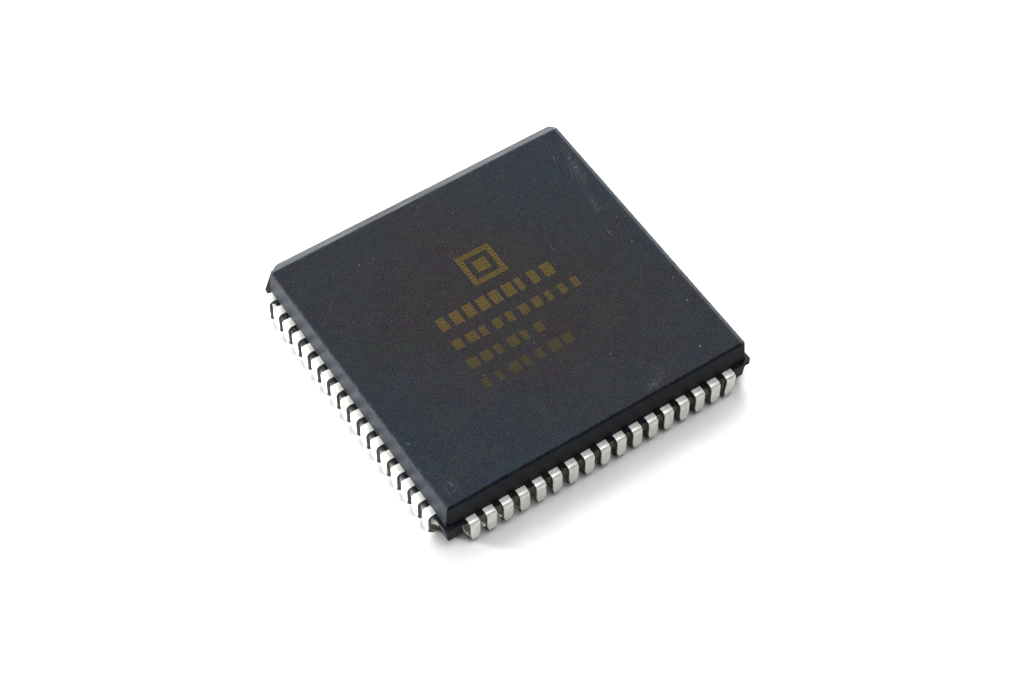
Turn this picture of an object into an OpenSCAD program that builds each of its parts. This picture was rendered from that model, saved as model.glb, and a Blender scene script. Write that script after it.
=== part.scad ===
// Plastic leaded chip carrier with J-shaped leads on all four sides.
// Millimetres. Z is up and zero is the plane that the leads stand on.
// X runs along the reading direction of the top face, and the bevelled side looks to +Y.

/* [Moulded body] */
// Width over the thin ledge at the parting line
body_w = 24.23; // [24.1:0.01:24.35]
// Height of the top face above the seating plane
top_z = 4.39; // [4.2:0.01:4.57]
// Height of the parting line, level with the top of the leads
part_z = 2.45; // [2.3:0.01:2.6]
// Height of the underside above the seating plane
base_z = 0.6; // [0.52:0.01:0.75]
// Width of the upper half at the parting line
upper_w = 23.74; // [23.6:0.01:23.9]
// Width of the lower half over its corner posts, just under the ledge
lower_w = 23.9; // [23.8:0.01:24]
// Mould draft of all upright faces, in degrees
draft = 5; // [3:0.5:7]
// Rounding of the top edges
top_edge_r = 0.18; // [0.1:0.01:0.25]
// Rounding of the bottom edges of the corner posts
base_edge_r = 0.15; // [0.1:0.01:0.2]
// Bevel along the first side, measured along the top face
bevel_run = 1.15; // [1:0.01:1.4]
// Bevel along the first side, measured down the side
bevel_drop = 1.1; // [0.9:0.01:1.4]
// Large chamfer that marks the first corner
first_chamfer = 1.14; // [1.02:0.01:1.27]
// Small chamfer on the other three corners
corner_chamfer = 0.2; // [0.1:0.01:0.25]
// Depth of the trough behind the leads, from the outside of the lower half
trough_d = 0.45; // [0.3:0.01:0.6]
// Width of the raised field of the underside, inside the curled lead ends
field_w = 20.7; // [20.5:0.01:20.8]
// Height of the roof over the curled lead ends
curl_roof_z = 1.35; // [1.2:0.01:1.5]
// Clearance along the row between the end leads and the corner posts
post_gap = 0.25; // [0.2:0.01:0.4]
// Diameter of the ejector pin mark in the underside
mark_d = 3; // [2:0.1:4]
// Depth of the ejector pin mark
mark_depth = 0.08; // [0.05:0.01:0.15]

/* [Leads] */
// Number of leads on each side
leads_per_side = 17; // [13:2:17]
// Distance between the middles of neighbouring leads
lead_pitch = 1.27; // [1.25:0.01:1.28]
// Thickness of the strip that leads and paddle are stamped from
strip_t = 0.25; // [0.2:0.01:0.3]
// Width over the outer faces of opposite leads
overall_w = 25.04; // [25.02:0.01:25.27]
// Width of a lead at its shoulder
lead_w = 0.77; // [0.66:0.01:0.81]
// Width of a lead at its curled foot
foot_w = 0.5; // [0.4:0.01:0.53]
// Height at which a lead begins to narrow
narrow_top_z = 1.05; // [0.95:0.01:1.3]
// Height at which a lead has reached its foot width
narrow_low_z = 0.7; // [0.55:0.01:0.85]
// Outside radius of the shoulder bend
shoulder_r = 0.33; // [0.31:0.01:0.4]
// Outside radius of the curled foot
foot_r = 0.8; // [0.7:0.01:0.95]
// How far the foot curls up past its lowest point, in degrees
curl_angle = 70; // [50:1:75]
// Sideways lean of the one bent lead at the end of the front row, in degrees
bent_lean = 6; // [0:0.5:8]

/* [Inside the moulding] */
// Distance between the finger tips of opposite sides
tip_row_w = 11.8; // [11.6:0.1:12.2]
// Distance between the middles of neighbouring finger tips
tip_pitch = 0.62; // [0.6:0.01:0.64]
// Width of a finger at its tip
tip_w = 0.36; // [0.3:0.01:0.38]
// Width of a finger where it begins to turn inwards
finger_w = 0.6; // [0.5:0.01:0.64]
// Distance between the turning points of opposite fingers
turn_row_w = 21.8; // [21.4:0.1:22]
// Width of the square paddle under the die
paddle_w = 9.6; // [8.6:0.1:10]
// How far the paddle is set down from the leads
downset = 0.2; // [0.15:0.01:0.3]
// Width of a tie bar that held the paddle in the strip
tie_w = 0.5; // [0.4:0.01:0.6]
// Distance between the outer ends of opposite tie bars
tie_span = 30.8; // [29:0.1:31]
// Run over which a tie bar slopes down to the paddle
tie_slope = 0.8; // [0.6:0.1:1.2]
// Thickness of the adhesive under the die
attach_t = 0.03; // [0.02:0.01:0.05]
// Width of the square die
die_w = 6; // [5.2:0.1:6.6]
// Thickness of the die
die_t = 0.36; // [0.3:0.01:0.4]
// Distance from the die edge to the middles of the bond pads
pad_inset = 0.2; // [0.15:0.01:0.25]
// Distance from the last pad of a row to the die corner
pad_end = 0.44; // [0.4:0.01:0.6]
// Diameter of a bond wire
wire_d = 0.033; // [0.025:0.001:0.04]
// Diameter of the ball at the start of a wire
ball_d = 0.09; // [0.08:0.01:0.11]
// Height of that ball
ball_h = 0.03; // [0.02:0.005:0.04]
// Diameter of the stiff neck of a wire above its ball
neck_d = 0.044; // [0.042:0.001:0.06]
// Height of a wire's loop above the die
loop_h = 0.2; // [0.15:0.01:0.25]
// Distance from a finger tip to the place where its wire lands
land_in = 0.2; // [0.18:0.01:0.3]

/* [Hidden] */
$fn = 48;

edge_steps = 8;
beyond = 40;
over = 1;

strip_z = part_z - strip_t;
paddle_top = part_z - downset;
die_z = paddle_top + attach_t;
die_top = die_z + die_t;
last_lead = leads_per_side - 1;
middle = last_lead / 2;
row_half = middle * lead_pitch + lead_w / 2;
lead_out = overall_w / 2;
shoulder_in = lead_out - shoulder_r;
shoulder_z = part_z - shoulder_r;
slot_out = body_w / 2 + over;
tip_u = tip_row_w / 2;
turn_u = turn_row_w / 2;
pad_u = die_w / 2 - pad_inset;
pad_pitch = (die_w - 2 * pad_end) / last_lead;
land_u = tip_u + land_in;
side_turn = [270, 0, 90, 180];
FRONT = 0;
RIGHT = 1;
BACK = 2;
LEFT = 3;

function lead_v(k) = (k - middle) * lead_pitch;
function tip_v(k) = (k - middle) * tip_pitch;
function pad_v(k) = (k - middle) * pad_pitch;
// Place along the row of a finger's middle line, at distance u from the centre
function finger_v(k, u) = tip_v(k) + (lead_v(k) - tip_v(k)) * (u - tip_u) / (turn_u - tip_u);

moulded_colour = [0.11, 0.12, 0.13];
tin_colour = [0.75, 0.74, 0.71];
copper_colour = [0.72, 0.45, 0.3];
adhesive_colour = [0.62, 0.62, 0.64];
silicon_colour = [0.36, 0.37, 0.42];
gold_colour = [0.88, 0.68, 0.25];

moulded_body();
leads(FRONT);  // leads_front
leads(RIGHT);  // leads_right
leads(BACK);  // leads_back
leads(LEFT);  // leads_left
die_paddle();
die_attach();
silicon_die();
bond_wires(FRONT);  // bond_wires_front
bond_wires(RIGHT);  // bond_wires_right
bond_wires(BACK);  // bond_wires_back
bond_wires(LEFT);  // bond_wires_left

// Both mould halves, less the metal, die and wires that were in the mould when it was filled
module moulded_body() {
    color(moulded_colour)
        difference() {
            union() {
                upper_half();
                ledge();
                lower_half();
            }
            for (side = [FRONT : LEFT])
                rotate([0, 0, side_turn[side]]) {
                    for (k = [0 : last_lead])
                        finger(k, slot_out);
                    for (k = [0 : last_lead])
                        bond_wire(k);
                }
            paddle_and_ties();
            attach_block();
            die_block();
        }
}

// Upper half, with drafted sides, rounded top edges, the bevel of the first side and its corners
module upper_half() {
    h = top_z - part_z;
    translate([0, 0, part_z])
        difference() {
            intersection() {
                along_y()
                    half_profile(upper_w, h, top_edge_r);
                along_x()
                    difference() {
                        half_profile(upper_w, h, top_edge_r);
                        bevel_cut(h);
                    }
            }
            corner_cuts(upper_w, -draft);
        }
}

// What the bevel takes off the section of the upper half
module bevel_cut(h) {
    top_half = upper_w / 2 - h * tan(draft);
    side_half = upper_w / 2 - (h - bevel_drop) * tan(draft);
    slope = bevel_drop / (bevel_run + side_half - top_half);
    polygon([
        [top_half - bevel_run - over, h + over * slope],
        [side_half + over, h - bevel_drop - over * slope],
        [side_half + over, h + over * slope]
    ]);
}

// Thin ledge that fills the strip's thickness out to where the dam bars were
module ledge() {
    half = body_w / 2;
    a = half - first_chamfer;
    b = half - corner_chamfer;
    translate([0, 0, strip_z])
        linear_extrude(strip_t)
            polygon([
                [half, b], [b, half], [-a, half], [-half, a],
                [-half, -b], [-b, -half], [b, -half], [half, -b]
            ]);
}

// Lower half, with corner posts, a trough behind each row of leads and room for their curled ends
module lower_half() {
    h = strip_z - base_z;
    trough_u = lower_w / 2 - trough_d;
    row = 2 * (row_half + post_gap);
    translate([0, 0, strip_z])
        difference() {
            intersection() {
                along_y()
                    mirror([0, 1])
                        half_profile(lower_w, h, base_edge_r);
                along_x()
                    mirror([0, 1])
                        half_profile(lower_w, h, base_edge_r);
            }
            corner_cuts(lower_w, draft);
            for (a = side_turn)
                rotate([0, 0, a]) {
                    translate([trough_u, -row / 2, -beyond])
                        cube([beyond, row, beyond]);
                    translate([field_w / 2, -row / 2, curl_roof_z - strip_z - beyond])
                        cube([beyond, row, beyond]);
                }
            translate([0, 0, -h - over])
                cylinder(d = mark_d, h = over + mark_depth);
        }
}

// Section of one mould half, standing on the parting line, with drafted sides and rounded corners
module half_profile(w, h, r) {
    top = w / 2 - h * tan(draft);
    centre = [top - r / tan(45 + draft / 2), h - r];
    step = (90 - draft) / edge_steps;
    arc = [for (i = [0 : edge_steps]) centre + r * [cos(draft + i * step), sin(draft + i * step)]];
    half = concat([[w / 2, 0]], arc);
    polygon(concat(half, [for (i = [edge_steps + 1 : -1 : 0]) [-half[i][0], half[i][1]]]));
}

// Slice of a ring between two angles
module ring_sector(r, wall, from, to) {
    intersection() {
        difference() {
            circle(r);
            circle(r - wall);
        }
        wedge(2 * r, from, to);
    }
}

// Straight-sided wedge that reaches past a circle of half its radius
module wedge(r, from, to) {
    step = (to - from) / 4;
    polygon(concat([[0, 0]], [for (a = [from : step : to + step / 2]) r * [cos(a), sin(a)]]));
}

// Drafted chamfers on the four upright corners, the large one at -X +Y
module corner_cuts(w, lean) {
    size = 6;
    for (corner = [0 : 3]) {
        chamfer = corner == 1 ? first_chamfer : corner_chamfer;
        rotate([0, 0, 45 + 90 * corner])
            translate([w / sqrt(2) - chamfer / sqrt(2), 0, 0])
                rotate([0, lean, 0])
                    translate([0, -size / 2, -size / 2])
                        cube([size, size, size]);
    }
}

// Stands a section up and runs it through along X or along Y
module along_x() {
    rotate([90, 0, 90])
        linear_extrude(beyond, center = true)
            children();
}

module along_y() {
    rotate([90, 0, 0])
        linear_extrude(beyond, center = true)
            children();
}

// One row of leads, each stamped and formed from one strip
module leads(side) {
    color(tin_colour)
        rotate([0, 0, side_turn[side]])
            for (k = [0 : last_lead])
                union() {
                    finger(k, shoulder_in);
                    j_lead(k, side == FRONT && k == last_lead ? bent_lean : 0);
                }
}

// Flat part of a lead, from out_u in to its tip near the die
module finger(k, out_u) {
    root_u = body_w / 2 - trough_d;
    translate([0, 0, strip_z])
        linear_extrude(strip_t)
            polygon([
                [out_u, lead_v(k) - lead_w / 2], [out_u, lead_v(k) + lead_w / 2],
                [root_u, lead_v(k) + lead_w / 2], [turn_u, lead_v(k) + finger_w / 2],
                [tip_u, tip_v(k) + tip_w / 2], [tip_u, tip_v(k) - tip_w / 2],
                [turn_u, lead_v(k) - finger_w / 2], [root_u, lead_v(k) - lead_w / 2]
            ]);
}

// Formed part of a lead: shoulder bend, upright and curled foot, leaning sideways if it was bent
module j_lead(k, lean) {
    translate([0, lead_v(k), 0])
        intersection() {
            along_y()
                j_profile();
            along_x()
                lead_front(lean);
        }
}

// Side view of the formed part
module j_profile() {
    translate([shoulder_in, shoulder_z])
        ring_sector(shoulder_r, strip_t, 0, 90);
    translate([lead_out - strip_t, foot_r])
        square([strip_t, shoulder_z - foot_r]);
    translate([lead_out - foot_r, foot_r])
        ring_sector(foot_r, strip_t, -90 - curl_angle, 0);
}

// Front view of a lead, narrowing to its foot, which moves aside below the shoulder if it was bent
module lead_front(lean) {
    top_v = (narrow_top_z - shoulder_z) * tan(lean);
    low_v = (narrow_low_z - shoulder_z) * tan(lean);
    foot_v = -shoulder_z * tan(lean);
    polygon([
        [-lead_w / 2, part_z], [-lead_w / 2, shoulder_z], [top_v - lead_w / 2, narrow_top_z],
        [low_v - foot_w / 2, narrow_low_z], [foot_v - foot_w / 2, 0], [foot_v + foot_w / 2, 0],
        [low_v + foot_w / 2, narrow_low_z], [top_v + lead_w / 2, narrow_top_z],
        [lead_w / 2, shoulder_z], [lead_w / 2, part_z]
    ]);
}

// Paddle that carries the die, with the four tie bars that held it in the strip
module die_paddle() {
    color(copper_colour)
        paddle_and_ties();
}

module paddle_and_ties() {
    low_z = paddle_top - strip_t;
    corner = paddle_w / sqrt(2);
    start = corner - tie_w;
    translate([-paddle_w / 2, -paddle_w / 2, low_z])
        cube([paddle_w, paddle_w, strip_t]);
    for (a = [45 : 90 : 315])
        rotate([90, 0, a])
            linear_extrude(tie_w, center = true)
                polygon([
                    [start, low_z], [corner, low_z], [corner + tie_slope, strip_z],
                    [tie_span / 2, strip_z], [tie_span / 2, part_z], [corner + tie_slope, part_z],
                    [corner, paddle_top], [start, paddle_top]
                ]);
}

// Layer of adhesive that fixes the die to the paddle
module die_attach() {
    color(adhesive_colour)
        attach_block();
}

module attach_block() {
    translate([-die_w / 2, -die_w / 2, paddle_top])
        cube([die_w, die_w, attach_t]);
}

// The chip itself
module silicon_die() {
    color(silicon_colour)
        die_block();
}

module die_block() {
    translate([-die_w / 2, -die_w / 2, die_z])
        cube([die_w, die_w, die_t]);
}

// One row of wires, from the die's pads to the finger tips
module bond_wires(side) {
    color(gold_colour)
        rotate([0, 0, side_turn[side]])
            for (k = [0 : last_lead])
                bond_wire(k);
}

// One wire: ball on the pad, upright neck and a straight run down to the finger
module bond_wire(k) {
    from = [pad_u, pad_v(k)];
    to = [land_u, finger_v(k, land_u)];
    reach = norm(to - from);
    bend_z = die_top + loop_h;
    run = norm([reach, bend_z - part_z]);
    slope = atan2(bend_z - part_z, reach);
    translate(from)
        rotate([0, 0, atan2(to[1] - from[1], to[0] - from[0])])
            intersection() {
                union() {
                    translate([0, 0, die_top])
                        cylinder(d = ball_d, h = ball_h);
                    translate([0, 0, die_top + ball_h])
                        cylinder(d = neck_d, h = loop_h + neck_d - ball_h);
                    translate([0, 0, bend_z])
                        rotate([0, 90 + slope, 0])
                            cylinder(d = wire_d, h = run + wire_d);
                }
                translate([-over, -over, part_z])
                    cube([beyond, 2 * over, 2 * over]);
            }
}
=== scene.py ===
import math
import random

import bpy
from mathutils import Matrix, Vector


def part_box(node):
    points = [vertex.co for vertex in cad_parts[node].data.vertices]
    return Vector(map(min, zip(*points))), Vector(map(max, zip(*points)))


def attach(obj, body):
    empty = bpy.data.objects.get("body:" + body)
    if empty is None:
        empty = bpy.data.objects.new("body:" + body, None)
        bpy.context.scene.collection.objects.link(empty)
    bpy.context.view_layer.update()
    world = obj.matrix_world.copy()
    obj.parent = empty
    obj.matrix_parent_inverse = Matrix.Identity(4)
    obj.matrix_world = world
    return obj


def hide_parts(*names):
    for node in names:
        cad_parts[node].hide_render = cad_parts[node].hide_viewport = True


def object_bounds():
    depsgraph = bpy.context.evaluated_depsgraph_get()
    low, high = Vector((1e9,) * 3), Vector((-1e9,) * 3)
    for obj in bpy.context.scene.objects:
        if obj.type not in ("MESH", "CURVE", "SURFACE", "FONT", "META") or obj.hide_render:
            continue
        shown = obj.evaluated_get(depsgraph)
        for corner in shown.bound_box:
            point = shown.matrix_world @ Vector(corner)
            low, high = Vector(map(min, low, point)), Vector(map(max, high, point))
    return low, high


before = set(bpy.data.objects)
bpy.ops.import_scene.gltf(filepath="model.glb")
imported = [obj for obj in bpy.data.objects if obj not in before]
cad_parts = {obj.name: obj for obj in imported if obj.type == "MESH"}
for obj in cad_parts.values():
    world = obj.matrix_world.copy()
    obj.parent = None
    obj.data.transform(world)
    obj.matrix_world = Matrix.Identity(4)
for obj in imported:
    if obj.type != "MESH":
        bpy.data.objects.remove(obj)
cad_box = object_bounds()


# Die paddle and its tie bars
# One stamping of rolled copper alloy strip, set down in the middle to carry the die.
# The rolling left fine lines along X, and the heat of assembly tarnished it in patches.

MM = 0.001
ROLLED_LINE_W = 0.04 * MM
ROLLED_LINE_DEPTH = 0.002 * MM
TARNISH_PATCH = 1.6 * MM
COPPER = (0.62, 0.3, 0.16, 1)
TARNISHED_COPPER = (0.42, 0.2, 0.12, 1)


class Field:
    """A socket of a node tree, as a value over a surface. Arithmetic on it adds Math nodes."""

    def __init__(self, tree, socket):
        self.tree = tree
        self.socket = socket

    def node(self, kind, settings=None, sockets=None, out=0):
        """One output of a new node, given its settings and the values or links of its sockets."""
        made = self.tree.nodes.new(kind)
        for name, value in (settings or {}).items():
            setattr(made, name, value)
        for name, value in (sockets or {}).items():
            if isinstance(value, Field):
                self.tree.links.new(value.socket, made.inputs[name])
            else:
                made.inputs[name].default_value = value
        return Field(self.tree, made.outputs[out])

    def math(self, operation, *values):
        return self.node("ShaderNodeMath", {"operation": operation}, dict(enumerate(values)))

    def __add__(self, other):
        return self.math("ADD", self, other)

    def __radd__(self, other):
        return self.math("ADD", other, self)

    def __sub__(self, other):
        return self.math("SUBTRACT", self, other)

    def __rsub__(self, other):
        return self.math("SUBTRACT", other, self)

    def __mul__(self, other):
        return self.math("MULTIPLY", self, other)

    def __rmul__(self, other):
        return self.math("MULTIPLY", other, self)

    def __truediv__(self, other):
        return self.math("DIVIDE", self, other)

    def __rtruediv__(self, other):
        return self.math("DIVIDE", other, self)

    def __abs__(self):
        return self.math("ABSOLUTE", self)

    def least(self, other):
        return self.math("MINIMUM", self, other)

    def most(self, other):
        return self.math("MAXIMUM", self, other)

    def above(self, limit):
        """1 where the value is above the limit, 0 elsewhere."""
        return self.math("GREATER_THAN", self, limit)

    def span(self, low, high, to_low=0.0, to_high=1.0):
        """The value moved from one range to another, and held inside it."""
        places = {"From Min": low, "From Max": high, "To Min": to_low, "To Max": to_high}
        return self.node("ShaderNodeMapRange", None, {"Value": self, **places})

    def mix(self, colour, other):
        """One colour where the value is 0, the other where it is 1."""
        return self.node("ShaderNodeMix", {"data_type": "RGBA"}, {0: self, 6: colour, 7: other}, 2)

    def stain(self, colour, amount):
        """A colour made lighter or darker by a value round a half, by up to amount."""
        return self.node("ShaderNodeMix", {"data_type": "RGBA", "blend_type": "LINEAR_LIGHT"},
                         {0: amount, 6: colour, 7: self}, 2)

    def bump(self, depth, **sockets):
        """Normals of a surface that rises and falls with the value, by depth."""
        return self.node("ShaderNodeBump", None, {"Height": self, "Distance": depth, **sockets})

    def axis(self, number):
        """One part of a place: 0 for X, 1 for Y, 2 for Z."""
        return self.node("ShaderNodeSeparateXYZ", None, {0: self}, number)

    def length(self):
        """How far a place lies from where it is measured."""
        return self.node("ShaderNodeVectorMath", {"operation": "LENGTH"}, {0: self}, "Value")

    def noise(self, grain, detail=2.0, out="Fac", stretch=(1, 1, 1)):
        """Cloudy noise over a place, with lumps about as large as grain."""
        at = self.node("ShaderNodeMapping", None, {"Vector": self, "Scale": stretch})
        sockets = {"Vector": at, "Scale": 1 / grain, "Detail": detail}
        return self.node("ShaderNodeTexNoise", None, sockets, out)

    def cells(self, size, out="Distance", settings=None, **sockets):
        """Random cells over a place, each about as large as size."""
        sockets = {"Vector": self, "Scale": 1 / size, **sockets}
        return self.node("ShaderNodeTexVoronoi", settings, sockets, out)


def material(name, finish):
    """A material whose Principled shader takes what finish works out from Object coordinates."""
    made = bpy.data.materials.new(name)
    made.use_nodes = True
    tree = made.node_tree
    shader = tree.nodes["Principled BSDF"]
    place = Field(tree, tree.nodes.new("ShaderNodeTexCoord").outputs["Object"])
    for socket, value in finish(place).items():
        if isinstance(value, Field):
            tree.links.new(value.socket, shader.inputs[socket])
        else:
            shader.inputs[socket].default_value = value
    return made


def dress(node, finish):
    """Gives a CAD node its finish."""
    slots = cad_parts[node].data.materials
    slots.clear()
    slots.append(finish)


def rolled_copper(place):
    lines = place.noise(ROLLED_LINE_W, stretch=(0.04, 1, 1))
    tarnish = place.noise(TARNISH_PATCH, detail=4.0)
    return {
        "Base Color": tarnish.span(0.35, 0.7).mix(COPPER, TARNISHED_COPPER),
        "Metallic": 1.0,
        "Roughness": lines.span(0.3, 0.7, 0.25, 0.42),
        "Normal": lines.bump(ROLLED_LINE_DEPTH),
    }


dress("die_paddle", material("rolled_copper", rolled_copper))


# Die attach
# A thin layer of epoxy filled with silver flakes, stamped on the paddle as paste and cured.
# The flakes glitter in a grey resin.

FLAKE = 0.02 * MM
FLAKE_LIMIT = 0.62
CURED_PASTE = (0.3, 0.3, 0.31, 1)
SILVER = (0.72, 0.72, 0.74, 1)


def silver_paste(place):
    glitter = place.cells(FLAKE, "Color").above(FLAKE_LIMIT)
    return {
        "Base Color": glitter.mix(CURED_PASTE, SILVER),
        "Metallic": glitter * 0.9,
        "Roughness": glitter.span(0, 1, 0.6, 0.3),
    }


dress("die_attach", material("silver_paste", silver_paste))


# Silicon die
# A sawn square of polished silicon with aluminium wiring under glassy passivation.
# Blocks of circuit show as faint fields of interference colour; the sawn sides are grey.

CIRCUIT_BLOCK = 0.55 * MM
CIRCUIT_DEPTH = 0.001 * MM
SAWN_SILICON = (0.12, 0.12, 0.13, 1)
VIOLET_CIRCUIT = (0.17, 0.13, 0.24, 1)
GREEN_CIRCUIT = (0.12, 0.24, 0.22, 1)

die_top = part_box("silicon_die")[1].z


def silicon(place):
    block = place.cells(CIRCUIT_BLOCK, "Color", {"distance": "CHEBYCHEV"}, Randomness=0.7)
    shade = block.node("ShaderNodeSeparateColor", None, {0: block})
    circuit = shade.span(0.2, 0.9).mix(VIOLET_CIRCUIT, GREEN_CIRCUIT)
    face = place.axis(2).above(die_top - CIRCUIT_DEPTH)
    return {
        "Base Color": face.mix(SAWN_SILICON, circuit),
        "Metallic": 0.7,
        "Roughness": face.span(0, 1, 0.5, 0.12),
    }


dress("silicon_die", material("silicon", silicon))


# Bond wires
# Drawn gold wire, welded by heat and ultrasound from each pad of the die to the finger beyond.
# The wire is bright, with a fine grain from the drawing.

GOLD_GRAIN = 0.008 * MM
DEEP_GOLD = (0.86, 0.55, 0.16, 1)
PALE_GOLD = (0.95, 0.68, 0.26, 1)


def drawn_gold(place):
    grain = place.noise(GOLD_GRAIN)
    return {
        "Base Color": grain.span(0.3, 0.7).mix(DEEP_GOLD, PALE_GOLD),
        "Metallic": 1.0,
        "Roughness": grain.span(0.3, 0.7, 0.18, 0.32),
    }


gold = material("drawn_gold", drawn_gold)
for row in ("front", "right", "back", "left"):
    dress("bond_wires_" + row, gold)


# Leads
# Strips of copper alloy, stamped, tin plated and curled under the body once it was moulded.
# Plating rounds their edges; their sheared sides are painted dark as painted shade between leads.
# Inside the moulding each fans in to the die. The last lead of the front row was knocked sideways.

LEAD_COUNT = 17
LEAD_PITCH = 1.27 * MM
STRIP_T = 0.25 * MM
LEAD_W = 0.77 * MM
FOOT_W = 0.5 * MM
NARROW_TOP_Z = 1.05 * MM
NARROW_MIDDLE_Z = 0.85 * MM
NARROW_LOW_Z = 0.7 * MM
SHOULDER_R = 0.33 * MM
SHOULDER_STEPS = 9
FOOT_R = 0.8 * MM
FOOT_STEPS = 18
CURL_ANGLE = 70
ROOT_U = 11.665 * MM
TURN_U = 10.9 * MM
TIP_U = 5.9 * MM
FINGER_W = 0.6 * MM
TIP_W = 0.36 * MM
TIP_PITCH = 0.62 * MM
PLATED_EDGE_R = 0.045 * MM
PLATED_EDGE_STEPS = 3
SHARP_ANGLE = 50
BENT_LEAN = 6
ROW_TURNS = {"front": 270, "right": 0, "back": 90, "left": 180}
DRAWN_LINE_W = 0.05 * MM
TIN_PATCH = 0.5 * MM
TIN_GRAIN = 0.03 * MM
TIN_DEPTH = 0.003 * MM
PALE_TIN = (0.76, 0.75, 0.71, 1)
GREY_TIN = (0.62, 0.61, 0.57, 1)
# Painted shade: the colour of the sheared sides, standing for the shade between neighbouring leads
SHADED_SIDE_TIN = (0.22, 0.21, 0.19, 1)

lead_out = cad_box[1][0]
lead_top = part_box("leads_right")[1].z
shoulder_z = lead_top - SHOULDER_R


def arc(centre_u, centre_z, radius, start, end, steps):
    """Points of an arc in the lead's side view, angles in degrees."""
    turn = (math.radians(start + (end - start) * i / steps) for i in range(steps + 1))
    return [(centre_u + radius * math.cos(a), 0, centre_z + radius * math.sin(a)) for a in turn]


def lead_path():
    """Middle line of one lead in side view, from the finger's tip to the end of the curl."""
    half = STRIP_T / 2
    flat = [(u, 0, lead_top - half) for u in (TIP_U, TURN_U, ROOT_U)]
    shoulder = arc(lead_out - SHOULDER_R, shoulder_z, SHOULDER_R - half, 90, 0, SHOULDER_STEPS)
    upright = [(lead_out - half, 0, z) for z in (NARROW_TOP_Z, NARROW_MIDDLE_Z)]
    foot = arc(lead_out - FOOT_R, FOOT_R, FOOT_R - half, 0, -90 - CURL_ANGLE, FOOT_STEPS)
    line = bpy.data.curves.new("lead_path", "CURVE")
    line.dimensions = "3D"
    points = flat + shoulder + upright + foot
    spline = line.splines.new("POLY")
    spline.points.add(len(points) - 1)
    for point, place in zip(spline.points, points):
        point.co = (*place, 1)
    return line


def geometry_tree(name, inputs):
    """The named inputs of a new geometry tree, given each one's kind. The first is its geometry."""
    tree = bpy.data.node_groups.new(name, "GeometryNodeTree")
    for label, kind in {"Geometry": "Geometry", **inputs}.items():
        tree.interface.new_socket(label, in_out="INPUT", socket_type="NodeSocket" + kind)
    tree.interface.new_socket("Geometry", in_out="OUTPUT", socket_type="NodeSocketGeometry")
    entry = tree.nodes.new("NodeGroupInput")
    return {socket.name: Field(tree, socket) for socket in entry.outputs if socket.name}


def finished_tree(geometry):
    """The tree that ends with this geometry."""
    leave = geometry.tree.nodes.new("NodeGroupOutput")
    geometry.tree.links.new(geometry.socket, leave.inputs["Geometry"])
    return geometry.tree


def lead_row_tree():
    """Sweeps a rounded strip along the lead's path, repeats it, and fans, narrows and bends the row."""
    sizes = ("Pitch", "Strip Thickness", "Lead Width", "Foot Width", "Finger Width", "Tip Width",
             "Tip Pitch", "Tip", "Turn", "Root", "Shoulder Height", "Narrow Top", "Narrow Low",
             "Edge Radius", "Lean", "Row Turn")
    counts = ("Count", "Bent Lead", "Edge Steps")
    given = geometry_tree("lead_row", {
        **dict.fromkeys(sizes, "Float"), **dict.fromkeys(counts, "Int"), "Plating": "Material"})
    path = given["Geometry"]
    fetch = path.node

    section = fetch("GeometryNodeCurvePrimitiveQuadrilateral", None,
                    {"Width": given["Lead Width"], "Height": given["Strip Thickness"]})
    section = fetch("GeometryNodeFilletCurve", {"mode": "POLY"},
                    {"Curve": section, "Count": given["Edge Steps"], "Radius": given["Edge Radius"]})
    lead = fetch("GeometryNodeCurveToMesh", None,
                 {"Curve": path, "Profile Curve": section, "Fill Caps": True})
    sideways = abs(fetch("GeometryNodeInputPosition").axis(1)) * 2 / given["Lead Width"]
    lead = fetch("GeometryNodeStoreNamedAttribute", {"data_type": "FLOAT", "domain": "POINT"},
                 {"Geometry": lead, "Name": "sideways", "Value": sideways})

    middle = (given["Count"] - 1) * 0.5
    first = fetch("ShaderNodeCombineXYZ", None, {"Y": middle * given["Pitch"] * -1})
    step = fetch("ShaderNodeCombineXYZ", None, {"Y": given["Pitch"]})
    row = fetch("GeometryNodeMeshLine", None,
                {"Count": given["Count"], "Start Location": first, "Offset": step})
    row = fetch("GeometryNodeInstanceOnPoints", None, {"Points": row, "Instance": lead})
    row = fetch("GeometryNodeStoreNamedAttribute", {"data_type": "INT", "domain": "INSTANCE"},
                {"Geometry": row, "Name": "lead_number", "Value": fetch("GeometryNodeInputIndex")})
    row = fetch("GeometryNodeRealizeInstances", None, {"Geometry": row})

    number = fetch("GeometryNodeInputNamedAttribute", {"data_type": "INT"}, {"Name": "lead_number"})
    place = fetch("GeometryNodeInputPosition")
    u, v, z = (place.axis(k) for k in range(3))
    along = number - middle
    flat = z.above(given["Shoulder Height"])
    fanned = flat * (1 - u.span(given["Tip"], given["Turn"]))
    centre = along * (given["Pitch"] + (given["Tip Pitch"] - given["Pitch"]) * fanned)
    finger = u.span(given["Tip"], given["Turn"], given["Tip Width"], given["Finger Width"])
    root = u.span(given["Turn"], given["Root"], given["Finger Width"], given["Lead Width"])
    low = z.span(given["Narrow Low"], given["Narrow Top"], given["Foot Width"], given["Lead Width"])
    width = (finger + root - given["Finger Width"]) * flat + low * (1 - flat)
    bent = number.math("COMPARE", number, given["Bent Lead"], 0.1)
    slope = given["Lean"].math("TANGENT", given["Lean"])
    drop = (z - given["Shoulder Height"]).least(0.0)
    moved = centre + (v - along * given["Pitch"]) * width / given["Lead Width"] + bent * drop * slope
    place = fetch("ShaderNodeCombineXYZ", None, {"X": u, "Y": moved, "Z": z})
    row = fetch("GeometryNodeSetPosition", None, {"Geometry": row, "Position": place})
    turned = fetch("ShaderNodeCombineXYZ", None, {"Z": given["Row Turn"]})
    row = fetch("GeometryNodeTransform", None, {"Geometry": row, "Rotation": turned})
    row = fetch("GeometryNodeSetMaterial", None, {"Geometry": row, "Material": given["Plating"]})
    return finished_tree(row)


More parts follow.
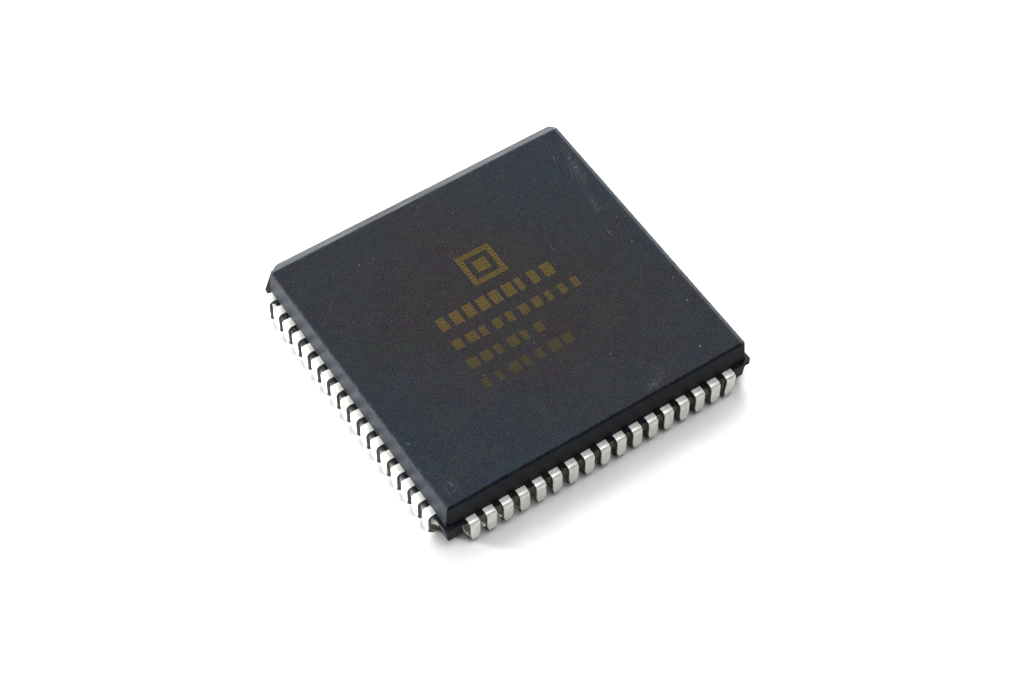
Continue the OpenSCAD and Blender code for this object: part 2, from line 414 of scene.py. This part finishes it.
def grown(name, base, tree, inputs):
    """A plain mesh object with what a node tree makes of a base, given the tree's named inputs."""
    holder = bpy.data.objects.new(name + "_base", base)
    bpy.context.scene.collection.objects.link(holder)
    modifier = holder.modifiers.new("grow", "NODES")
    modifier.node_group = tree
    for item in tree.interface.items_tree:
        if item.in_out == "INPUT" and item.name in inputs:
            modifier[item.identifier] = inputs[item.name]
    bpy.context.view_layer.update()
    evaluated = holder.evaluated_get(bpy.context.evaluated_depsgraph_get())
    mesh = bpy.data.meshes.new_from_object(evaluated)
    holder.modifiers.remove(modifier)
    bpy.data.objects.remove(holder)
    mesh.name = name
    piece = bpy.data.objects.new(name, mesh)
    bpy.context.scene.collection.objects.link(piece)
    return piece


def tin_plating(place):
    drawn = place.noise(DRAWN_LINE_W, detail=3.0, stretch=(1, 1, 0.15))
    patches = place.noise(TIN_PATCH, detail=4.0)
    grains = place.noise(TIN_GRAIN)
    sideways = place.node("ShaderNodeAttribute", {"attribute_name": "sideways"}, None, "Fac")
    tin = patches.span(0.3, 0.75).mix(PALE_TIN, GREY_TIN)
    return {
        # Painted shade: the sheared sides are darkened where the shade between neighbouring leads falls
        "Base Color": sideways.span(0.94, 0.99).mix(tin, SHADED_SIDE_TIN),
        "Metallic": 0.45,
        "Roughness": (patches * 0.25 + drawn * 0.15).span(0.1, 0.3, 0.36, 0.5),
        "Normal": (grains + drawn).bump(TIN_DEPTH),
    }


plating = material("tin_plating", tin_plating)
row_tree = lead_row_tree()
for row, turn in ROW_TURNS.items():
    leads = grown("lead_row_" + row, lead_path(), row_tree, {
        "Count": LEAD_COUNT, "Pitch": LEAD_PITCH, "Strip Thickness": STRIP_T, "Lead Width": LEAD_W,
        "Foot Width": FOOT_W, "Finger Width": FINGER_W, "Tip Width": TIP_W, "Tip Pitch": TIP_PITCH,
        "Tip": TIP_U, "Turn": TURN_U, "Root": ROOT_U, "Shoulder Height": shoulder_z,
        "Narrow Top": NARROW_TOP_Z, "Narrow Low": NARROW_LOW_Z, "Edge Radius": PLATED_EDGE_R,
        "Edge Steps": PLATED_EDGE_STEPS, "Lean": math.radians(BENT_LEAN),
        "Row Turn": math.radians(turn), "Bent Lead": LEAD_COUNT - 1 if row == "front" else -1,
        "Plating": plating,
    })
    leads.data.shade_smooth()
    leads.data.set_sharp_from_angle(angle=math.radians(SHARP_ANGLE))
    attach(leads, "root")
    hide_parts("leads_" + row)


# Moulded body
# Black epoxy filled with fused silica, moulded round the lead frame under heat and pressure.
# The spark-eroded mould left a fine matt grain, with a smoother bevel. Handling has scuffed the top
# and left dust on it. A lighter band along its right top edge is a painted highlight.

TOP_HALF_W = 11.7 * MM
BEVEL_EDGE_Y = 10.55 * MM
BEVEL_DROP = 1.1 * MM
EDGE_R = 0.05 * MM
GRAIN = 0.08 * MM
GRAIN_DEPTH = 0.006 * MM
MOTTLE = 0.6 * MM
HAZE = 3 * MM
BEVEL_STREAK = 2.5 * MM
DUST_APART = 0.35 * MM
DUST_R = 0.045 * MM
DUST_PATCH = 3 * MM
DUST_COVER = 0.5
MIDDLE_RESIN = (0.0095, 0.0022, 0.001, 1)
OUTER_RESIN = (0.0055, 0.0068, 0.013, 1)
CORNER_RESIN = (0.0005, 0.0085, 0.0195, 1)
WALL_RESIN = (0.008, 0.0105, 0.0155, 1)
SILICA = (0.056, 0.058, 0.061, 1)
# Colour of the worn resin, and of the painted highlight along the right top edge
WORN_AND_HIGHLIT_RESIN = (0.2, 0.21, 0.212, 1)
DUST = (0.2, 0.208, 0.215, 1)

# How strongly each kind of wear shows, from 0 to 1
EDGE_WEAR = 0.05
SCUFF_WEAR = 0.36
NICK_WEAR = 0.5
EDGE_WEAR_W = 0.3 * MM
# Width of the painted highlight along the right top edge
RIGHT_HIGHLIGHT_W = 0.35 * MM
PATCHY_SIZE = 0.5 * MM
SCUFF_STREAK = 0.07 * MM

# Middle of each scratch on the top face in mm, its direction in degrees, its length and width in mm
SCRATCHES = (
    (9.42, 0.75, -78, 0.9, 0.07), (5.42, 1.8, -88, 0.8, 0.05), (5.5, -10.05, -72, 1.2, 0.06),
    (4.4, -11.2, 20, 1.1, 0.06), (-9.6, 6.1, 40, 1.0, 0.04), (-2.5, -8.7, 15, 0.9, 0.04),
    (10.2, 6.6, 70, 1.4, 0.05), (10.9, 5.9, 62, 1.0, 0.05), (9.9, 8.3, 75, 0.9, 0.05),
)
# The same for each scuffed patch
SCUFFS = (
    (10.7, 7.0, 80, 5.6, 0.9), (10.0, 3.6, 76, 2.6, 0.7),
    (-10.6, -10.4, 45, 1.8, 1.2), (4.9, -10.9, 15, 2.4, 1.0),
)
# Middle of each nick in mm, and its width
NICKS = (
    (8.99, -10.3, 0.2), (10.49, -6.77, 0.2), (10.77, 6.85, 0.18), (-6.36, 7.89, 0.14),
    (3.71, -7.58, 0.15), (-5.3, 7.8, 0.12), (1.38, 8.15, 0.12), (-11.19, -6.16, 0.16),
    (10.28, -0.65, 0.14), (10.83, -4.69, 0.14),
)

body_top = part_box("moulded_body")[1].z


def below_top(place):
    """How deep a place lies below the top face."""
    return body_top - place.axis(2)


def on_top(place, x, y, turn, length, width):
    """The place measured from a spot on the top face, in halves of that spot's length and width."""
    return place.node("ShaderNodeMapping", {"vector_type": "TEXTURE"}, {
        "Vector": place, "Location": (x * MM, y * MM, body_top),
        "Rotation": (0, 0, math.radians(turn)), "Scale": (length / 2 * MM, width / 2 * MM, 1 * MM)})


def worn_and_highlit(place):
    """How far the top face is rubbed along its edges, scuffed, scratched and nicked, with a painted
    highlight along its right top edge, from 0 to 1.
    """
    streaks = place.noise(SCUFF_STREAK, detail=4.0, stretch=(1, 0.3, 1)).span(0.46, 0.74)
    patchy = place.noise(PATCHY_SIZE, detail=4.0).span(0.42, 0.7)
    x = place.axis(0)
    y = place.axis(1)
    to_edge = (TOP_HALF_W - abs(x)).least(BEVEL_EDGE_Y - y).least(y + TOP_HALF_W)
    # Painted highlight: a lighter band along the right top edge, where the edge catches the light
    right = x.span(TOP_HALF_W - RIGHT_HIGHLIGHT_W, TOP_HALF_W - 0.02 * MM)
    wear_and_highlight = abs(to_edge).span(EDGE_WEAR_W, 0) * patchy * EDGE_WEAR
    wear_and_highlight = wear_and_highlight.most(right * patchy.span(0, 1, 0.6, 0.9))
    for scuff in SCUFFS:
        reach = on_top(place, *scuff).length()
        wear_and_highlight = wear_and_highlight.most(reach.span(1, 0.2) * streaks * SCUFF_WEAR)
    for scratch in SCRATCHES:
        spot = on_top(place, *scratch)
        line = abs(spot.axis(0)).span(1, 0.4) * abs(spot.axis(1)).span(1, 0.3)
        wear_and_highlight = wear_and_highlight.most(line * patchy.span(0, 1, 0.25, 0.55))
    for nick_x, nick_y, width in NICKS:
        reach = on_top(place, nick_x, nick_y, 0, width, width).length()
        wear_and_highlight = wear_and_highlight.most(reach.span(1, 0.4) * NICK_WEAR)
    return wear_and_highlight * below_top(place).span(0.3 * MM, 0.1 * MM)


def dusty(place):
    """How much dust hides the resin: specks in patches, fewer towards the front, from 0 to 1."""
    specks = place.cells(DUST_APART).span(DUST_R / DUST_APART, 0.6 * DUST_R / DUST_APART)
    patches = place.noise(DUST_PATCH).span(0.42, 0.62)
    return specks * patches * place.axis(1).span(-10 * MM, -2 * MM, 0.3, 1.0) * DUST_COVER


def bevel_gloss(place):
    """How glossy the bevel is along its length, and 0 off it."""
    inside = place.axis(1).span(BEVEL_EDGE_Y + 0.05 * MM, BEVEL_EDGE_Y + 0.2 * MM)
    inside = inside * below_top(place).span(BEVEL_DROP, BEVEL_DROP - 0.1 * MM)
    streaks = place.noise(BEVEL_STREAK, detail=3.0, stretch=(1, 3, 3))
    return inside * streaks.span(0.35, 0.65, 0.12, 0.42)


def mould_compound(place):
    grain = place.noise(GRAIN)
    mottle = place.noise(MOTTLE, detail=1.0, out="Color")
    haze = place.noise(HAZE, detail=1.0, out="Color")
    depth = below_top(place)
    top = depth.span(0.12 * MM, 0.02 * MM)
    rounding = depth.span(0.22 * MM, 0.12 * MM) * depth.span(0.001 * MM, 0.01 * MM)
    corner = abs(place.axis(0) + place.axis(1))
    tone = place.length().span(3 * MM, 13 * MM).mix(MIDDLE_RESIN, OUTER_RESIN)
    tone = corner.span(6 * MM, 20 * MM).mix(tone, CORNER_RESIN)
    tone = top.mix(WALL_RESIN, tone)
    tone = mottle.stain(haze.stain(tone, top * 0.005), top.span(0, 1, 0.002, 0.009))
    tone = (grain.span(0.4, 0.8) * top.span(0, 1, 0.7, 1)).mix(tone, SILICA)
    tone = worn_and_highlit(place).mix(tone, WORN_AND_HIGHLIT_RESIN)
    edge = place.node("ShaderNodeBevel", {"samples": 6}, {"Radius": EDGE_R})
    return {
        "Base Color": dusty(place).mix(tone, DUST),
        "Roughness": grain.span(0.3, 0.7, 0.46, 0.52) + top * 0.12 + rounding * 0.3,
        "IOR": 1.31,
        "Coat Weight": bevel_gloss(place),
        "Coat Roughness": 0.2,
        "Normal": grain.bump(GRAIN_DEPTH, Normal=edge),
    }


dress("moulded_body", material("mould_compound", mould_compound))


# Top marking
# A mark burnt into the resin by a laser, which swept each plain block line by line.
# The resin turned brown where it was burnt, in lighter and darker spots, and fainter in the lower rows.

# Middle of each row of blocks in Y, the number of blocks, their pitch and their height, in mm
MARK_ROWS = (
    (0.55, 9, 1.04, 1.1), (-1.35, 10, 1.05, 0.85), (-3.15, 6, 1.05, 0.85), (-4.95, 7, 1.05, 0.85),
)
MARK_LEFT = -4.6 * MM
MARK_SEED = 5
SQUARE_X = 0.6 * MM
SQUARE_Y = 3.35 * MM
SQUARE_W = 2.7 * MM
SQUARE_SIDE_W = 0.42 * MM
BURN_LINES = 7
BURN_FILL = 0.8
BURN_PROUD = 0.003 * MM
BURN_SUNK = 0.01 * MM
BURN_SPOT = 0.1 * MM
BURN_ROUGH = 0.01 * MM
DARK_BURN = (0.045, 0.023, 0.004, 1)
LIGHT_BURN = (0.125, 0.094, 0.019, 1)
FAINT_BURN = (0.02, 0.018, 0.012, 1)


def marking_blocks():
    """Points at the middles of the blocks, each with its block's length and height."""
    draw = random.Random(MARK_SEED)
    blocks = []
    for y, count, pitch, height in MARK_ROWS:
        for k in range(count):
            length = pitch * draw.uniform(0.4, 0.78)
            middle = MARK_LEFT + k * pitch * MM + length / 2 * MM
            blocks.append((middle, y * MM, length * MM, height * MM))
    reach = (SQUARE_W - SQUARE_SIDE_W) / 2
    for side in (-1, 1):
        blocks.append((SQUARE_X, SQUARE_Y + side * reach, SQUARE_W, SQUARE_SIDE_W))
    for side in (-1, 1):
        blocks.append((SQUARE_X + side * reach, SQUARE_Y, SQUARE_SIDE_W, SQUARE_W - 2 * SQUARE_SIDE_W))
    core = SQUARE_W - 4 * SQUARE_SIDE_W
    blocks.append((SQUARE_X, SQUARE_Y, core, core))
    points = bpy.data.meshes.new("marking_blocks")
    points.from_pydata([(x, y, body_top) for x, y, length, height in blocks], [], [])
    sizes = points.attributes.new("block_size", "FLOAT_VECTOR", "POINT")
    for item, (x, y, length, height) in zip(sizes.data, blocks):
        item.vector = (length, height, 1)
    return points


def burnt_tree():
    """Fills each block with the parallel lines of the laser's sweep."""
    given = geometry_tree("burnt_marking", {
        "Lines": "Int", "Fill": "Float", "Proud": "Float", "Sunk": "Float", "Burnt Resin": "Material"})
    blocks = given["Geometry"]
    fetch = blocks.node

    pitch = 1 / given["Lines"]
    size = fetch("ShaderNodeCombineXYZ", None,
                 {"X": 1.0, "Y": pitch * given["Fill"], "Z": given["Proud"] + given["Sunk"]})
    line = fetch("GeometryNodeMeshCube", None, {"Size": size})
    first = fetch("ShaderNodeCombineXYZ", None,
                  {"Y": pitch * 0.5 - 0.5, "Z": (given["Proud"] - given["Sunk"]) * 0.5})
    step = fetch("ShaderNodeCombineXYZ", None, {"Y": pitch})
    lines = fetch("GeometryNodeMeshLine", None,
                  {"Count": given["Lines"], "Start Location": first, "Offset": step})
    block = fetch("GeometryNodeInstanceOnPoints", None, {"Points": lines, "Instance": line})
    block = fetch("GeometryNodeRealizeInstances", None, {"Geometry": block})

    reach = fetch("GeometryNodeInputNamedAttribute", {"data_type": "FLOAT_VECTOR"}, {"Name": "block_size"})
    mark = fetch("GeometryNodeInstanceOnPoints", None,
                 {"Points": blocks, "Instance": block, "Scale": reach})
    mark = fetch("GeometryNodeRealizeInstances", None, {"Geometry": mark})
    mark = fetch("GeometryNodeSetMaterial", None, {"Geometry": mark, "Material": given["Burnt Resin"]})
    return finished_tree(mark)


def burnt_resin(place):
    spots = place.noise(BURN_SPOT, detail=3.0)
    faint = place.axis(1).span(0.2 * MM, -5 * MM) * 0.65
    tone = spots.span(0.36, 0.64).mix(DARK_BURN, LIGHT_BURN)
    return {
        "Base Color": faint.mix(tone, FAINT_BURN),
        "Roughness": spots.span(0.3, 0.7, 0.55, 0.75),
        "IOR": 1.36,
        "Normal": spots.bump(BURN_ROUGH),
    }


marking = grown("top_marking", marking_blocks(), burnt_tree(), {
    "Lines": BURN_LINES, "Fill": BURN_FILL, "Proud": BURN_PROUD, "Sunk": BURN_SUNK,
    "Burnt Resin": material("burnt_resin", burnt_resin),
})
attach(marking, "root")


# Floor
# A plain white table that the lead feet stand on.
# It is matt, and barely mottled.

FLOOR_REACH = 4.0
FLOOR_MOTTLE = 2 * MM
FLOOR_WHITE = (0.74, 0.74, 0.74, 1)
FLOOR_CREAM = (0.72, 0.72, 0.715, 1)


def white_table(place):
    mottle = place.noise(FLOOR_MOTTLE, detail=4.0)
    return {
        "Base Color": mottle.span(0.3, 0.7).mix(FLOOR_WHITE, FLOOR_CREAM),
        "Roughness": 0.8,
    }


floor_mesh = bpy.data.meshes.new("floor")
corners = [(FLOOR_REACH * x, FLOOR_REACH * y, 0) for x, y in ((-1, -1), (1, -1), (1, 1), (-1, 1))]
floor_mesh.from_pydata(corners, [], [(0, 1, 2, 3)])
floor_mesh.materials.append(material("white_table", white_table))
floor = bpy.data.objects.new("floor", floor_mesh)
bpy.context.scene.collection.objects.link(floor)


# Light
# A soft tent that glows most from high behind, with a softbox there on the right, a weak lamp overhead
# and a low panel behind on the left.

TENT_FROM = Vector((0.2, 0.5, 0.84))
TENT_DARK = 0.0
TENT_BRIGHT = 0.87
TENT_WHITE = (1.0, 1.0, 1.0, 1)
TENT_BLUE = (0.93, 0.97, 1.0, 1)
# Each lamp's place in metres, its width and its power
LAMPS = {
    "softbox": ((0.3, 0.42, 0.66), 0.36, 3.3),
    "overhead": ((0.03, -0.14, 0.7), 0.3, 1.25),
    "low_panel": ((-0.5, 0.48, 0.05), 0.09, 15.0),
}

world = bpy.data.worlds.new("tent")
world.use_nodes = True
tent = world.node_tree.nodes["Background"]
way = Field(world.node_tree, world.node_tree.nodes.new("ShaderNodeTexCoord").outputs["Generated"])
glow = way.node("ShaderNodeVectorMath", {"operation": "DOT_PRODUCT"}, {0: way, 1: TENT_FROM}, "Value")
tint = glow.span(0.2, 0.9).mix(TENT_WHITE, TENT_BLUE)
strength = glow.span(-0.1, 0.75, TENT_DARK, TENT_BRIGHT)
world.node_tree.links.new(tint.socket, tent.inputs["Color"])
world.node_tree.links.new(strength.socket, tent.inputs["Strength"])
bpy.context.scene.world = world

for name, (place, width, power) in LAMPS.items():
    lamp_data = bpy.data.lights.new(name, "AREA")
    lamp_data.shape = "DISK"
    lamp_data.size = width
    lamp_data.energy = power
    lamp = bpy.data.objects.new(name, lamp_data)
    lamp.location = place
    lamp.rotation_euler = Vector(place).to_track_quat("Z", "Y").to_euler()
    bpy.context.scene.collection.objects.link(lamp)


# Camera
# It looks down on the corner between the front and the left side, as the photograph does.
# Its place and lens were fitted to the lead tips and the body's edges in the photograph.

CAMERA_AZIMUTH = math.radians(-33.2625)
CAMERA_ELEVATION = math.radians(54.9998)
CAMERA_ROLL = math.radians(-0.1746)
CAMERA_DISTANCE = 153.3462 * MM
CAMERA_TARGET = Vector((-0.3443, -1.8473, 2.2)) * MM
FOCAL_PIXELS = 2273.1522
IMAGE_W = 1024

camera_data = bpy.data.cameras.new("camera")
camera_data.sensor_fit = "HORIZONTAL"
camera_data.lens = FOCAL_PIXELS / IMAGE_W * camera_data.sensor_width
camera_data.clip_start = 0.005
camera = bpy.data.objects.new("camera", camera_data)
back = Vector((
    math.sin(CAMERA_AZIMUTH) * math.cos(CAMERA_ELEVATION),
    -math.cos(CAMERA_AZIMUTH) * math.cos(CAMERA_ELEVATION),
    math.sin(CAMERA_ELEVATION),
))
level = Vector((0, 0, 1)).cross(back).normalized()
turned = Matrix((level, back.cross(level), back)).transposed()
turned = turned @ Matrix.Rotation(CAMERA_ROLL, 3, "Z")
camera.matrix_world = Matrix.Translation(CAMERA_TARGET + back * CAMERA_DISTANCE) @ turned.to_4x4()
bpy.context.scene.collection.objects.link(camera)
bpy.context.scene.camera = camera
bpy.context.scene.view_settings.view_transform = "Standard"
bpy.context.scene.view_settings.look = "High Contrast"
